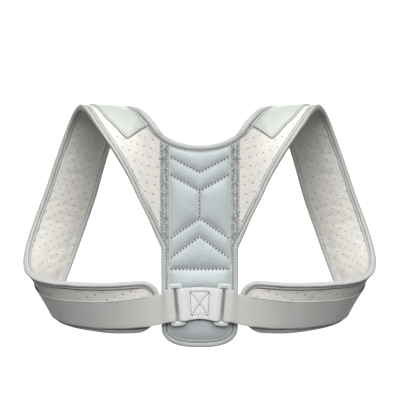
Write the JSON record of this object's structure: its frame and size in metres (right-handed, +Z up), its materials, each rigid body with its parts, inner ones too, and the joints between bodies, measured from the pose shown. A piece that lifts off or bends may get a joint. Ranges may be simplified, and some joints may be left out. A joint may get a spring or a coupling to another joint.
{
  "type": "posture corrector",
  "caption": "Worn back brace: a quilted spine panel with padded straps over the shoulders and under the arms, joined across the back by webbing and plastic rings.",
  "frame": {"origin": "midway between the undersides of the two shoulder crests, where the worn brace sits on the wearer's shoulders", "axes": "+X to the wearer's right, +Y to the wearer's front, +Z up"},
  "size_m": [0.4442, 0.179, 0.2889],
  "materials": {
    "perforated_cloth": "fine perforated cloth on foam",
    "quilted_leather": "smooth satin artificial leather",
    "binding_tape": "woven folded tape",
    "seam_tape": "grainy woven tape",
    "patch_cloth": "smooth pale cloth",
    "webbing": "satin woven webbing",
    "ring_plastic": "glossy moulded plastic"
  },
  "bodies": {
    "root": {"back_panel": "perforated_cloth", "quilted_panel": "quilted_leather", "shoulder_pad_left": "perforated_cloth", "shoulder_pad_right": "perforated_cloth", "edge_binding_left": "binding_tape", "edge_binding_right": "binding_tape", "seam_tape_left": "seam_tape", "seam_tape_right": "seam_tape", "shoulder_patch_left": "patch_cloth", "shoulder_patch_right": "patch_cloth", "side_strap_left": "webbing", "side_strap_right": "webbing", "center_webbing": "webbing", "ring_left": "ring_plastic", "ring_right": "ring_plastic"}
  },
  "joints": []
}
